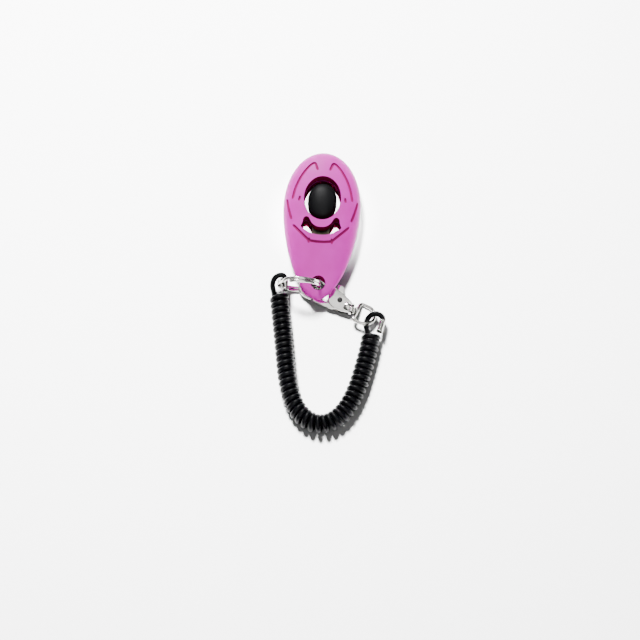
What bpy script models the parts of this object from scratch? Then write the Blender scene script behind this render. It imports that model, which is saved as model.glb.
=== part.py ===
"""Pet training clicker with a coiled wrist strap, modelled as its separate pieces.

Metres, +Z up. The clicker lies on its back: the origin is at the middle of its
underside, +Y points to the head end and -Y to the tail, where the strap's split
ring passes through a hole. The strap lies on the same surface.
"""

import math

import bmesh
import bpy
from mathutils import Matrix, Vector

MM = 0.001

# Driving dimensions: casing
BODY_HALF_WIDTH = 17 * MM
BODY_HALF_LENGTH = 34 * MM
WIDEST_Y = 8 * MM          # where the outline is at its widest
BODY_HEIGHT = 14 * MM
PARTING_Z = 7.6 * MM       # the two casing halves meet here
PARTING_GAP = 0.3 * MM
WALL = 1.7 * MM
CLEARANCE = 0.3 * MM       # between pieces that touch on the real object
TAIL_TOP = 10.8 * MM       # height of the casing's upper side at the tail
TAIL_BOTTOM = 5.1 * MM     # and of its underside there
TAIL_SOLID_Y = -17 * MM    # the casing is solid from here to the tail's tip

# Driving dimensions: openings of the casing
THUMB_HOLE_Y = 11.2 * MM
THUMB_HOLE_HALF_WIDTH = 8.05 * MM
THUMB_HOLE_HALF_LENGTH = 10 * MM
TAIL_HOLE_Y = -26.9 * MM
TAIL_HOLE_RADIUS = 3.2 * MM
GROOVE_WIDTH = 1.4 * MM
GROOVE_DEPTH = 0.7 * MM

# Driving dimensions: button and click spring
BUTTON_Y = 10.8 * MM
BUTTON_HALF_WIDTH = 6.3 * MM
BUTTON_HALF_LENGTH = 8.3 * MM
BUTTON_TOP = 13.5 * MM
SPRING_Z = 6.4 * MM
SPRING_THICKNESS = 0.5 * MM
SPRING_WIDTH = 8 * MM
SPRING_TAIL_Y = -15.2 * MM
SPRING_HEAD_Y = 16.5 * MM
SPRING_SCREW_Y = -11.9 * MM
SIDE_SCREW_X = 12.5 * MM
SIDE_SCREW_Y = 9 * MM

# Driving dimensions: split ring, which stands in the tail hole
RING_RADIUS_IN = 8.2 * MM
RING_RADIUS_OUT = 9.5 * MM
RING_WIRE = 1.14 * MM      # of one turn, along the ring's axis
RING_CENTRE = (-8.2 * MM, -28.1 * MM, 9.8 * MM)
RING_LEAN = math.radians(3)

# Driving dimensions: curly cord
CORD = 2.4 * MM
COIL_DIAMETER = 8.6 * MM
COIL_Z = 4.4 * MM
CRIMP_RADIUS = 1.5 * MM

# Driving dimensions: trigger snap, in a frame of its own at the front of its swivel
SNAP_PLACE = (15.4 * MM, -36.1 * MM, 2.95 * MM)
SNAP_HEADING = math.radians(158)
HOOK_THICKNESS = 2.2 * MM
SHOULDER_THICKNESS = 3.2 * MM
GATE_THICKNESS = 1.3 * MM
GATE_PIVOT = (6.4 * MM, -1.2 * MM)
BARREL_X = -0.6 * MM       # where the swivel barrel begins, along the snap
EYE_WIRE = 1.6 * MM
EYE_TILT = math.radians(22)


# ---------------------------------------------------------------- scene and materials

def clear_scene():
    for old in list(bpy.data.objects):
        bpy.data.objects.remove(old)


def material(name, colour, roughness, metallic=0.0):
    made = bpy.data.materials.new(name)
    made.use_nodes = True
    shader = made.node_tree.nodes["Principled BSDF"]
    shader.inputs["Base Color"].default_value = (*colour, 1.0)
    shader.inputs["Roughness"].default_value = roughness
    shader.inputs["Metallic"].default_value = metallic
    return made


def make_materials():
    return {
        "pink_plastic": material("pink_plastic", (0.70, 0.17, 0.46), 0.42),
        "black_plastic": material("black_plastic", (0.02, 0.02, 0.022), 0.5),
        "spring_steel": material("spring_steel", (0.30, 0.29, 0.26), 0.35, 1.0),
        "zinc_screw": material("zinc_screw", (0.62, 0.62, 0.60), 0.35, 1.0),
        "nickel_steel": material("nickel_steel", (0.78, 0.77, 0.75), 0.16, 1.0),
        "cord_black": material("cord_black", (0.012, 0.012, 0.014), 0.38),
    }


# ---------------------------------------------------------------- mesh helpers

def new_object(name, mesh_data, surface=None, parent=None, place=None):
    """An object of this mesh or curve, at a place in its parent's frame."""
    made = bpy.data.objects.new(name, mesh_data)
    bpy.context.scene.collection.objects.link(made)
    made.parent = parent
    if place is not None:
        made.matrix_basis = place
    if surface is None:
        made.hide_render = True
        made.display_type = "WIRE"
    else:
        made.data.materials.append(surface)
    return made


def mesh_of(name, shape):
    """The mesh of a bmesh, shaded smooth where its faces meet at a shallow angle."""
    bmesh.ops.recalc_face_normals(shape, faces=shape.faces)
    made = bpy.data.meshes.new(name)
    shape.to_mesh(made)
    shape.free()
    made.shade_smooth()
    made.set_sharp_from_angle(angle=math.radians(35))
    return made


def skin(shape, rings, closed=False):
    """Faces between rings of points of equal count; open ends get a cap each."""
    loops = [[shape.verts.new(point) for point in ring] for ring in rings]
    count = len(loops[0])
    pairs = list(zip(loops, loops[1:]))
    if closed:
        pairs.append((loops[-1], loops[0]))
    for low, high in pairs:
        for i in range(count):
            j = (i + 1) % count
            shape.faces.new((low[i], low[j], high[j], high[i]))
    if not closed:
        shape.faces.new(loops[0])
        shape.faces.new(loops[-1])


def prism(name, outline, low, high):
    """A mesh that runs straight up between two heights over an outline in plan."""
    shape = bmesh.new()
    skin(shape, [[(x, y, z) for x, y in outline] for z in (low, high)])
    return mesh_of(name, shape)


def turned(name, profile, sides=24):
    """A mesh turned about Z from (radius, z) pairs, the first and last at radius above zero."""
    shape = bmesh.new()
    turns = [2 * math.pi * (i + 0.5) / sides for i in range(sides)]
    rings = [[(r * math.cos(t), r * math.sin(t), z) for t in turns] for r, z in profile]
    skin(shape, rings)
    return mesh_of(name, shape)


def cylinder(name, radius, low, high, sides=24):
    return turned(name, [(radius, low), (radius, high)], sides)


def swept(name, route, section, closed=False):
    """A mesh of a section of (side, up) pairs carried along stations of (centre, side, up)."""
    shape = bmesh.new()
    rings = []
    for centre, side, up in route:
        rings.append([Vector(centre) + side * s + up * u for s, u in section])
    skin(shape, rings, closed)
    return mesh_of(name, shape)


def ellipse(half_x, half_y, centre_y=0.0, sides=36, power=2.0):
    """A superellipse in plan; power 2 is a true ellipse."""
    points = []
    for i in range(sides):
        turn = 2 * math.pi * i / sides
        c = math.cos(turn)
        s = math.sin(turn)
        x = half_x * math.copysign(abs(c) ** (2 / power), c)
        y = half_y * math.copysign(abs(s) ** (2 / power), s)
        points.append((x, centre_y + y))
    return points


def boolean(target, cutter, operation="DIFFERENCE"):
    step = target.modifiers.new(cutter.name, "BOOLEAN")
    step.operation = operation
    step.object = cutter


def cutter(name, mesh_data, parent=None, place=None):
    return new_object(name, mesh_data, None, parent, place)


def at(x, y, z=0.0):
    return Matrix.Translation((x, y, z))


def spline_through(points, step):
    """Points about a step apart on a smooth curve through the given points."""
    ends = [2 * points[0] - points[1], *points, 2 * points[-1] - points[-2]]
    found = []
    for a, b, c, d in zip(ends, ends[1:], ends[2:], ends[3:]):
        pieces = max(1, round((c - b).length / step))
        for i in range(pieces):
            t = i / pieces
            found.append(
                0.5 * ((2 * b) + (c - a) * t + (2 * a - 5 * b + 4 * c - d) * t * t
                       + (3 * b - a - 3 * c + d) * t ** 3)
            )
    found.append(points[-1])
    return found


def tube(name, points, diameter, surface):
    """A round cord of this diameter as a curve with closed ends."""
    line = bpy.data.curves.new(name, "CURVE")
    line.dimensions = "3D"
    line.bevel_depth = diameter / 2
    line.bevel_resolution = 2
    line.use_fill_caps = True
    run = line.splines.new("POLY")
    run.points.add(len(points) - 1)
    for spot, point in zip(run.points, points):
        spot.co = (*point, 1.0)
    return new_object(name, line, surface)


# ---------------------------------------------------------------- casing

def half_width(y):
    """Half the casing's width at a distance along it: blunt head, slender tail."""
    if y >= WIDEST_Y:
        t = min(1.0, (y - WIDEST_Y) / (BODY_HALF_LENGTH - WIDEST_Y))
        return BODY_HALF_WIDTH * (1 - t ** 2.1) ** 0.5
    t = min(1.0, (WIDEST_Y - y) / (WIDEST_Y + BODY_HALF_LENGTH))
    return BODY_HALF_WIDTH * (1 - t ** 1.7) ** 0.56


def casing_outline(inset=0.0, lowest_y=-1.0, sides=56):
    """The egg-shaped outline in plan, pulled in by an inset and cut short at lowest_y."""
    head = []
    tail = []
    steps = sides // 4
    for i in range(steps + 1):
        turn = math.pi / 2 * i / steps
        y = WIDEST_Y + (BODY_HALF_LENGTH - WIDEST_Y) * math.cos(turn)
        head.append((half_width(y), y))
        y = WIDEST_Y - (BODY_HALF_LENGTH + WIDEST_Y) * math.sin(turn)
        tail.append((half_width(y), y))
    right = head + tail[1:]
    left = [(-x, y) for x, y in reversed(right[1:-1])]
    outline = []
    for x, y in right + left:
        away = Vector((x, y - WIDEST_Y))
        away *= 1 - inset / away.length
        outline.append((away.x, max(away.y + WIDEST_Y, lowest_y)))
    return outline


def smoothstep(t):
    t = min(1.0, max(0.0, t))
    return t * t * (3 - 2 * t)


def dome(share):
    """Height of the casing's crown, 1 to 0, from its middle to its edge."""
    return (1 - share ** 3) ** (1 / 2.2)


def upper_height(y):
    fall = smoothstep((-2 * MM - y) / (26 * MM))
    return BODY_HEIGHT - PARTING_Z - (BODY_HEIGHT - TAIL_TOP) * fall


def lower_height(y):
    fall = smoothstep((-9 * MM - y) / (18 * MM))
    return PARTING_Z - TAIL_BOTTOM * fall


def casing_top(x, y):
    """Height of the casing's upper surface over a point in plan."""
    away = Vector((x, y - WIDEST_Y))
    if away.length < 1e-9:
        return BODY_HEIGHT
    low, high = 0.0, 1.2
    for _ in range(30):
        share = (low + high) / 2
        edge = away / share
        edge_y = edge.y + WIDEST_Y
        if abs(edge_y) < BODY_HALF_LENGTH and abs(edge.x) <= half_width(edge_y):
            high = share
        else:
            low = share
    return PARTING_Z + upper_height(y) * dome(min(1.0, high))


def half_casing(name, upper, inset=0.0, lowest_y=-1.0):
    """One half of the egg, solid, from the parting plane outwards; inset makes its hollow."""
    shape = bmesh.new()
    outline = casing_outline(inset, lowest_y)
    shares = [1.0, 0.985, 0.94, 0.86, 0.75, 0.6, 0.4]
    side = 1 if upper else -1
    start = side * (PARTING_GAP / 2 if inset == 0 else -PARTING_GAP)
    rings = [[(x, y, PARTING_Z + start) for x, y in outline]]
    for share in shares[1:]:
        ring = []
        for x, y in outline:
            y_here = WIDEST_Y + (y - WIDEST_Y) * share
            if upper:
                rise = upper_height(y_here) * dome(share)
            else:
                rise = lower_height(y_here) * min(1.0, 1.12 * dome(share))
            rise = max(rise - inset, abs(start))
            ring.append((x * share, y_here, PARTING_Z + side * rise))
        rings.append(ring)
    skin(shape, rings)
    return mesh_of(name, shape)


def slot_outline(grow=0.0):
    """The smile-shaped slot below the thumb hole, symmetric, widened by grow."""
    right = [(0, -2.5), (2.1, -2.2), (3.9, -1.0), (5.0, 0.7), (5.6, 1.7), (6.6, 2.15), (7.5, 1.8)]
    right += [(8.0, 0.9), (8.1, -0.1), (8.5, -1.3), (8.9, -2.3), (8.2, -3.1), (6.8, -4.1), (5.0, -5.1)]
    right += [(2.8, -5.8), (0, -6.1)]
    right = [Vector(point) * MM for point in right]
    left = [Vector((-p.x, p.y)) for p in reversed(right[1:-1])]
    ring = right + left
    count = len(ring)
    grown = []
    for i, point in enumerate(ring):
        along = (ring[(i + 1) % count] - ring[i - 1]).normalized()
        out = Vector((-along.y, along.x))
        grown.append(tuple(point + out * grow))
    return grown


def groove_routes():
    """Plan routes of the engraved lines, in metres, each mirrored to both sides."""
    brow = [(2.7, 24.1), (3.3, 26.0), (4.2, 27.7), (5.9, 26.7), (8.3, 23.6), (10.4, 19.9)]
    brow += [(12.1, 15.4), (13.2, 10.3)]
    flank = [(15.6, 10.6), (14.9, 7.2), (14.0, 3.8), (13.1, 1.0)]
    mark = [(9.9, 11.6), (10.3, 9.4)]
    knot = [(4.7, -7.5), (5.2, -8.6), (5.0, -9.8)]
    routes = []
    for half in (brow, flank, mark, knot):
        for side in (1, -1):
            routes.append([Vector((side * x, y)) * MM for x, y in half])
    jaw = [(12.3, -1.6), (9.6, -4.4), (6.4, -7.4), (5.0, -8.6), (3.5, -8.9), (1.8, -9.1), (0, -9.15)]
    jaw += [(-x, y) for x, y in reversed(jaw[:-1])]
    routes.append([Vector(point) * MM for point in jaw])
    return routes


def groove_cutter(name, route):
    """A ribbon that follows the casing's upper surface, its section square to it."""
    reach = 0.2 * MM
    stations = []
    for i, point in enumerate(route):
        x, y = point
        along = (route[min(i + 1, len(route) - 1)] - route[max(i - 1, 0)]).normalized()
        out = Vector((-along.y, along.x)) * reach
        rise = casing_top(x + out.x, y + out.y) - casing_top(x - out.x, y - out.y)
        side = Vector((out.x * 2, out.y * 2, rise)).normalized()
        up = Vector((along.x, along.y, 0)).cross(side).normalized()
        stations.append(((x, y, casing_top(x, y)), side, up))
    half = GROOVE_WIDTH / 2
    section = [(-1.2 * half, 0.4 * MM), (-0.6 * half, -GROOVE_DEPTH), (0.6 * half, -GROOVE_DEPTH),
               (1.2 * half, 0.4 * MM)]
    return cutter(name, swept(name, stations, section))


def screw_places():
    return {
        "left_screw": (-SIDE_SCREW_X, SIDE_SCREW_Y),
        "right_screw": (SIDE_SCREW_X, SIDE_SCREW_Y),
        "spring_screw": (0.0, SPRING_SCREW_Y),
    }


def make_hollow(upper):
    """The hollow of one casing half, which leaves walls round every opening and screw."""
    tag = "front" if upper else "rear"
    hollow = cutter(f"{tag}_hollow", half_casing(f"{tag}_hollow", upper, WALL, TAIL_SOLID_Y))
    hole_wall = ellipse(THUMB_HOLE_HALF_WIDTH + 1.4 * MM, THUMB_HOLE_HALF_LENGTH + 1.4 * MM, THUMB_HOLE_Y)
    walls = {
        "hole_wall": hole_wall,
        "slot_wall": slot_outline(1.3 * MM),
    }
    for name, outline in walls.items():
        boolean(hollow, cutter(f"{tag}_{name}", prism(name, outline, -MM, 15 * MM)))
    for name, (x, y) in screw_places().items():
        boss = cylinder(f"{tag}_{name}_boss", 2.7 * MM, -MM, 15 * MM)
        boolean(hollow, cutter(f"{tag}_{name}_boss", boss, place=at(x, y)))
    return hollow


def spring_channel():
    """The low passage under the bridge that the click spring runs through."""
    half = SPRING_WIDTH / 2 + 0.6 * MM
    outline = [(-half, -15.8 * MM), (half, -15.8 * MM), (half, 4 * MM), (-half, 4 * MM)]
    low = SPRING_Z - 0.55 * MM
    return cutter("spring_channel", prism("spring_channel", outline, low, SPRING_Z + 2.3 * MM))


def press_room():
    """Room below the spring, between the slot and the thumb hole, for it to bend down."""
    half = SPRING_WIDTH / 2 + 0.4 * MM
    outline = [(-half, -8.2 * MM), (half, -8.2 * MM), (half, 3.5 * MM), (-half, 3.5 * MM)]
    return cutter("press_room", prism("press_room", outline, SPRING_Z - 3 * MM, SPRING_Z))


def make_casing(surface):
    hole = ellipse(THUMB_HOLE_HALF_WIDTH, THUMB_HOLE_HALF_LENGTH, THUMB_HOLE_Y)
    hole = prism("thumb_hole", hole, -MM, 16 * MM)
    slot = prism("smile_slot", slot_outline(), -MM, 16 * MM)
    tail_hole = cylinder("tail_hole", TAIL_HOLE_RADIUS, -MM, 16 * MM)
    shared = [
        cutter("thumb_hole", hole),
        cutter("smile_slot", slot),
        cutter("tail_hole", tail_hole, place=at(0, TAIL_HOLE_Y)),
        spring_channel(),
    ]
    front = new_object("front_shell", half_casing("front_shell", True), surface)
    rear = new_object("rear_shell", half_casing("rear_shell", False), surface)
    boolean(front, make_hollow(True))
    boolean(rear, make_hollow(False))
    for shell in (front, rear):
        for cut in shared:
            boolean(shell, cut)
    boolean(rear, press_room())
    for i, route in enumerate(groove_routes()):
        boolean(front, groove_cutter(f"groove_{i}", route))
    for name, (x, y) in screw_places().items():
        pilot = cutter(f"{name}_pilot", cylinder("pilot", 1.25 * MM, -MM, 11.6 * MM, 16), place=at(x, y))
        boolean(front, pilot)
        boolean(rear, pilot)
        recess = cutter(f"{name}_recess", cylinder("recess", 2.3 * MM, -MM, 3.4 * MM), place=at(x, y))
        boolean(rear, recess)


# ---------------------------------------------------------------- button, click spring and screws

def make_button(materials, pivot):
    """The black thumb button: a domed oval cap, its retainer under the spring and a rivet."""
    shape = bmesh.new()
    low = SPRING_Z + SPRING_THICKNESS / 2 + CLEARANCE
    side_top = 9.4 * MM
    shares = [(0.94, low), (1.0, low + 0.6 * MM), (1.0, side_top)]
    steps = 7
    for i in range(1, steps + 1):
        turn = math.pi / 2 * i / (steps + 1)
        shares.append((math.cos(turn) ** 0.9, side_top + (BUTTON_TOP - side_top) * math.sin(turn)))
    rings = []
    for share, z in shares:
        ring = ellipse(BUTTON_HALF_WIDTH * share, BUTTON_HALF_LENGTH * share, BUTTON_Y, 32, 2.15)
        rings.append([(x, y, z) for x, y in ring])
    skin(shape, rings)
    unpivoted = pivot.matrix_world.inverted()
    cap = new_object("button_cap", mesh_of("button_cap", shape), materials["black_plastic"], pivot, unpivoted)
    rivet_hole = cylinder("rivet_hole", 1.4 * MM, MM, 10 * MM, 16)
    rivet_hole = cutter("rivet_hole", rivet_hole, place=at(0, BUTTON_Y))
    boolean(cap, rivet_hole)
    under = SPRING_Z - SPRING_THICKNESS / 2 - CLEARANCE
    disc = prism("button_retainer", ellipse(5 * MM, 6.6 * MM, BUTTON_Y, 32, 2.3), under - 1.7 * MM, under)
    retainer = new_object("button_retainer", disc, materials["black_plastic"], pivot, unpivoted)
    edge = retainer.modifiers.new("edge", "BEVEL")
    edge.width = 0.35 * MM
    edge.segments = 2
    boolean(retainer, rivet_hole)
    head = under - 1.7 * MM - CLEARANCE
    profile = [(1.3 * MM, head - 0.9 * MM), (2.1 * MM, head - 0.5 * MM), (2.1 * MM, head),
               (1.05 * MM, head + 0.01 * MM), (1.05 * MM, 9.6 * MM)]
    rivet = turned("button_rivet", profile, 20)
    new_object("button_rivet", rivet, materials["zinc_screw"], pivot, unpivoted @ at(0, BUTTON_Y))
    return rivet_hole


def make_click_spring(materials, rivet_hole):
    """The snap-action strip: a steel leaf with a pressed dimple, held at its tail end."""
    columns = 5
    rows = 20
    half = SPRING_WIDTH / 2
    shape = bmesh.new()
    sheets = []
    for lift in (-SPRING_THICKNESS / 2, SPRING_THICKNESS / 2):
        grid = []
        for j in range(rows + 1):
            y = SPRING_TAIL_Y + (SPRING_HEAD_Y - SPRING_TAIL_Y) * j / rows
            line = []
            for i in range(columns + 1):
                x = -half + SPRING_WIDTH * i / columns
                reach = (x / (3.2 * MM)) ** 2 + ((y + 3.4 * MM) / (3.4 * MM)) ** 2
                dimple = 0.55 * MM * max(0.0, 1 - reach) ** 1.5
                line.append(shape.verts.new((x, y, SPRING_Z + lift + dimple)))
            grid.append(line)
        sheets.append(grid)
    for grid in sheets:
        for j in range(rows):
            for i in range(columns):
                shape.faces.new((grid[j][i], grid[j][i + 1], grid[j + 1][i + 1], grid[j + 1][i]))
    low, high = sheets
    rim = [(0, i) for i in range(columns)]
    rim += [(j, columns) for j in range(rows)]
    rim += [(rows, columns - i) for i in range(columns)]
    rim += [(rows - j, 0) for j in range(rows)]
    for (j, i), (q, p) in zip(rim, rim[1:] + rim[:1]):
        shape.faces.new((low[j][i], low[q][p], high[q][p], high[j][i]))
    strip = new_object("click_spring", mesh_of("click_spring", shape), materials["spring_steel"])
    boolean(strip, rivet_hole)
    screw_hole = cylinder("spring_screw_hole", 1.25 * MM, MM, 12 * MM, 16)
    screw_hole = cutter("spring_screw_hole", screw_hole, place=at(0, SPRING_SCREW_Y))
    boolean(strip, screw_hole)
    top = SPRING_Z + SPRING_THICKNESS / 2 + CLEARANCE
    outline = [(-3.6, -14.9), (3.6, -14.9), (3.6, -9.1), (-3.6, -9.1)]
    strap = prism("spring_clamp", [(x * MM, y * MM) for x, y in outline], top, top + 1.1 * MM)
    clamp = new_object("spring_clamp", strap, materials["zinc_screw"])
    edge = clamp.modifiers.new("edge", "BEVEL")
    edge.width = 0.25 * MM
    edge.segments = 2
    boolean(clamp, screw_hole)


def make_screws(surface):
    """Three cross-head screws from the back; the tail one also holds the click spring."""
    arm = 1.05 * MM
    half = 0.25 * MM
    quarter = [Vector((half, half)), Vector((half, arm)), Vector((-half, arm))]
    outline = []
    for i in range(4):
        turn = Matrix.Rotation(math.pi / 2 * i, 2)
        outline += [tuple(turn @ point) for point in quarter]
    cross = prism("cross", outline, -0.65 * MM, 0.65 * MM)
    head = 1.7 * MM
    profile = [(1.2 * MM, head - 0.5 * MM), (1.75 * MM, head - 0.1 * MM), (1.9 * MM, head + 0.4 * MM),
               (1.9 * MM, head + 1.2 * MM), (0.95 * MM, head + 1.21 * MM), (0.95 * MM, 10.4 * MM),
               (0.35 * MM, 11.2 * MM)]
    for name, (x, y) in screw_places().items():
        screw = new_object(name, turned(name, profile, 20), surface, place=at(x, y))
        recess = cutter(f"{name}_cross", cross, place=at(x, y, head - 0.5 * MM))
        boolean(screw, recess)


# ---------------------------------------------------------------- split ring

def make_key_ring(surface, pivot):
    """Two flat turns of spring wire, one over the other, crossing at a short jog."""
    middle = (RING_RADIUS_IN + RING_RADIUS_OUT) / 2
    half = (RING_RADIUS_OUT - RING_RADIUS_IN) / 2
    pitch = RING_WIRE + 0.12 * MM
    jog = 0.5
    start = math.radians(150)
    stations = []
    steps = 72
    for i in range(steps + 1):
        run = (4 * math.pi - jog - 0.08) * i / steps
        rise = pitch * (smoothstep((run - 2 * math.pi + jog) / jog) - 0.5)
        turn = start + run
        out = Vector((math.cos(turn), math.sin(turn), 0))
        stations.append((out * middle + Vector((0, 0, rise)), out, Vector((0, 0, 1))))
    top = RING_WIRE / 2
    soft = 0.3 * MM
    section = [(-half, -top + soft), (-half + soft, -top), (half - soft, -top), (half, -top + soft),
               (half, top - soft), (half - soft, top), (-half + soft, top), (-half, top - soft)]
    new_object("key_ring", swept("key_ring", stations, section), surface, pivot)


# ---------------------------------------------------------------- curly cord and its crimps

COIL_ROUTE = [
    (-16.9, -31.2), (-15.9, -38), (-14.5, -47), (-13.3, -55), (-12.1, -63.5), (-10.7, -71.2),
    (-8.7, -78), (-5.7, -83.6), (-1.4, -87.6), (4.0, -89.1), (9.5, -87.4), (13.9, -83.2),
    (17.2, -77.5), (19.5, -71.5), (21.2, -65), (22.7, -58.5), (23.8, -52.5), (24.5, -47.6),
]
LEFT_LOOP = [
    (-19.3, -30.0, 4.9), (-19.8, -28.5, 6.0), (-19.7, -26.9, 7.4), (-19.0, -25.4, 8.4),
    (-17.5, -24.3, 8.9), (-15.8, -24.0, 9.0), (-14.8, -24.7, 8.9),
]
RIGHT_LOOP = [
    (29.1, -40.6, 5.4), (28.5, -39.4, 5.5), (27.3, -38.6, 5.5), (25.7, -38.3, 5.4),
    (24.1, -38.8, 5.0), (22.7, -40.0, 3.9), (22.0, -41.5, 2.1), (22.0, -43.2, 1.4), (22.6, -45.0, 1.4),
    (23.1, -46.5, 1.5),
]


def make_cord(surface):
    spine = [Vector((x, y, 0)) * MM + Vector((0, 0, COIL_Z)) for x, y in COIL_ROUTE]
    tube("cord_coil", spline_through(spine, 3.6 * MM), COIL_DIAMETER, surface)
    for name, route in (("cord_loop_left", LEFT_LOOP), ("cord_loop_right", RIGHT_LOOP)):
        points = [Vector(point) * MM for point in route]
        tube(name, spline_through(points, 0.9 * MM), CORD, surface)


def make_crimp(name, surface, start, end):
    """A pressed ferrule over the cord's end, with rolled edges and a seam along it."""
    start = Vector(start) * MM
    end = Vector(end) * MM
    length = (end - start).length
    lip = 0.35 * MM
    waist = CRIMP_RADIUS - 0.2 * MM
    profile = [(waist, 0), (CRIMP_RADIUS, lip), (waist, 2.2 * lip), (waist, length - 2.2 * lip),
               (CRIMP_RADIUS, length - lip), (waist, length)]
    place = Matrix.Translation(start) @ (end - start).to_track_quat("Z", "Y").to_matrix().to_4x4()
    made = new_object(name, turned(name, profile, 20), surface, None, place)
    seam = bmesh.new()
    box = Matrix.Diagonal((0.3 * MM, 0.5 * MM, 1.2 * length, 1))
    shift = Matrix.Translation((0, -CRIMP_RADIUS, length / 2))
    bmesh.ops.create_cube(seam, size=1.0, matrix=shift @ box)
    boolean(made, cutter(f"{name}_seam", mesh_of("seam", seam), None, place))


# ---------------------------------------------------------------- trigger snap

HOOK_OUTLINE = [
    (0.6, -2.2), (4.6, -4.0), (9.6, -5.3), (15.2, -6.8), (20.1, -7.3), (23.4, -6.4), (25.4, -4.1),
    (25.9, -1.4), (25.2, 1.3), (23.2, 3.1), (20.3, 3.8), (18.2, 3.8), (18.1, 1.9), (19.9, 1.8), (22.5, 1.1),
    (24.0, -0.3), (24.3, -2.3), (23.4, -4.3), (20.8, -5.3), (16.8, -5.1), (13.9, -3.9), (12.3, -2.4),
    (11.6, -0.4), (10.6, 1.6), (8.1, 2.9), (4.2, 3.0), (0.6, 2.3),
]
GATE_OUTLINE = [
    (17.7, 1.9), (17.1, 3.7), (12.0, 3.9), (7.6, 3.6), (5.0, 1.8), (4.3, -0.8), (5.0, -3.0), (6.6, -5.8),
    (7.2, -7.4), (8.6, -7.9), (9.9, -7.2), (9.7, -6.0), (8.6, -4.4), (8.4, -2.0), (9.2, 0.4), (11.2, 1.8),
]


def plate(name, outline, thickness, bevel):
    """A flat plate over an outline in millimetres, its edges rounded."""
    shape = bmesh.new()
    half = thickness / 2
    skin(shape, [[(x * MM, y * MM, z) for x, y in outline] for z in (-half, half)])
    bmesh.ops.recalc_face_normals(shape, faces=shape.faces)
    rims = [edge for edge in shape.edges if abs(edge.verts[0].co.z - edge.verts[1].co.z) < 1e-9]
    bmesh.ops.bevel(shape, geom=rims, offset=bevel, segments=2, profile=0.6, affect="EDGES")
    return mesh_of(name, shape)


def lying(x=0.0):
    """Turns something modelled along +Z to lie along +X, starting at x."""
    return Matrix.Translation((x, 0, 0)) @ Matrix.Rotation(math.pi / 2, 4, "Y")


def make_snap_body(surface, snap):
    body = new_object("snap_body", plate("snap_body", HOOK_OUTLINE, HOOK_THICKNESS, 0.45 * MM), surface, snap)
    cheeks = [(x, y) for x, y in HOOK_OUTLINE if x < 12.0]
    shoulder = plate("shoulder", cheeks, SHOULDER_THICKNESS, 0.35 * MM)
    boolean(body, cutter("shoulder", shoulder, snap), "UNION")
    ribs = [(2.3, 0), (2.65, 0.3), (2.65, 1.0), (2.1, 1.3), (2.1, 1.7), (2.5, 2.0), (2.5, 3.0), (2.2, 4.2)]
    barrel = turned("barrel", [(r * MM, z * MM) for r, z in ribs], 28)
    boolean(body, cutter("barrel", barrel, snap, lying(BARREL_X)), "UNION")
    slot = bmesh.new()
    box = Matrix.Diagonal((8.2 * MM, 16 * MM, GATE_THICKNESS + 0.4 * MM, 1))
    bmesh.ops.create_cube(slot, size=1.0, matrix=Matrix.Translation((7.6 * MM, 0, 0)) @ box)
    boolean(body, cutter("gate_slot", mesh_of("gate_slot", slot), snap))
    bore = [(1.2 * MM, -MM), (1.2 * MM, 1.5 * MM), (1.7 * MM, 1.6 * MM), (1.7 * MM, 3.7 * MM)]
    boolean(body, cutter("swivel_bore", turned("swivel_bore", bore, 20), snap, lying(BARREL_X)))
    pin_hole = cylinder("pin_hole", 0.85 * MM, -3 * MM, 3 * MM, 16)
    pin_hole = cutter("pin_hole", pin_hole, snap, at(*GATE_PIVOT))
    boolean(body, pin_hole)


def make_gate(materials, snap, gate_pivot):
    """The trigger: gate bar, root and thumb lever in one plate, on a riveted pin."""
    back = at(-GATE_PIVOT[0], -GATE_PIVOT[1])
    gate = new_object("snap_gate", plate("snap_gate", GATE_OUTLINE, GATE_THICKNESS, 0.22 * MM),
                      materials["nickel_steel"], gate_pivot, back)
    hole = cutter("gate_hole", cylinder("gate_hole", 0.85 * MM, -3 * MM, 3 * MM, 16), gate_pivot)
    boolean(gate, hole)
    pocket = cutter("spring_pocket", cylinder("spring_pocket", 1.75 * MM, 0.05 * MM, 3 * MM), gate_pivot)
    boolean(gate, pocket)
    face = SHOULDER_THICKNESS / 2 + 0.1 * MM
    rise = 0.45 * MM
    profile = [(0.7 * MM, -face - rise), (1.15 * MM, -face - 0.6 * rise), (1.15 * MM, -face),
               (0.7 * MM, -face + 0.01 * MM), (0.7 * MM, face - 0.01 * MM), (1.15 * MM, face),
               (1.15 * MM, face + 0.6 * rise), (0.7 * MM, face + rise)]
    new_object("gate_pin", turned("gate_pin", profile, 20), materials["zinc_screw"], snap, at(*GATE_PIVOT))
    wire = 0.16 * MM
    stations = []
    turns = 1.4
    for i in range(41):
        turn = 2 * math.pi * turns * i / 40
        out = Vector((math.cos(turn), math.sin(turn), 0))
        lift = 0.24 * MM + 0.42 * MM * turn / (2 * math.pi * turns)
        stations.append((out * 1.28 * MM + Vector((0, 0, lift)), out, Vector((0, 0, 1))))
    section = [(wire * math.cos(a), wire * math.sin(a)) for a in (0, 1.257, 2.513, 3.770, 5.027)]
    coil = swept("gate_spring", stations, section)
    new_object("gate_spring", coil, materials["spring_steel"], snap, at(*GATE_PIVOT))


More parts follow.
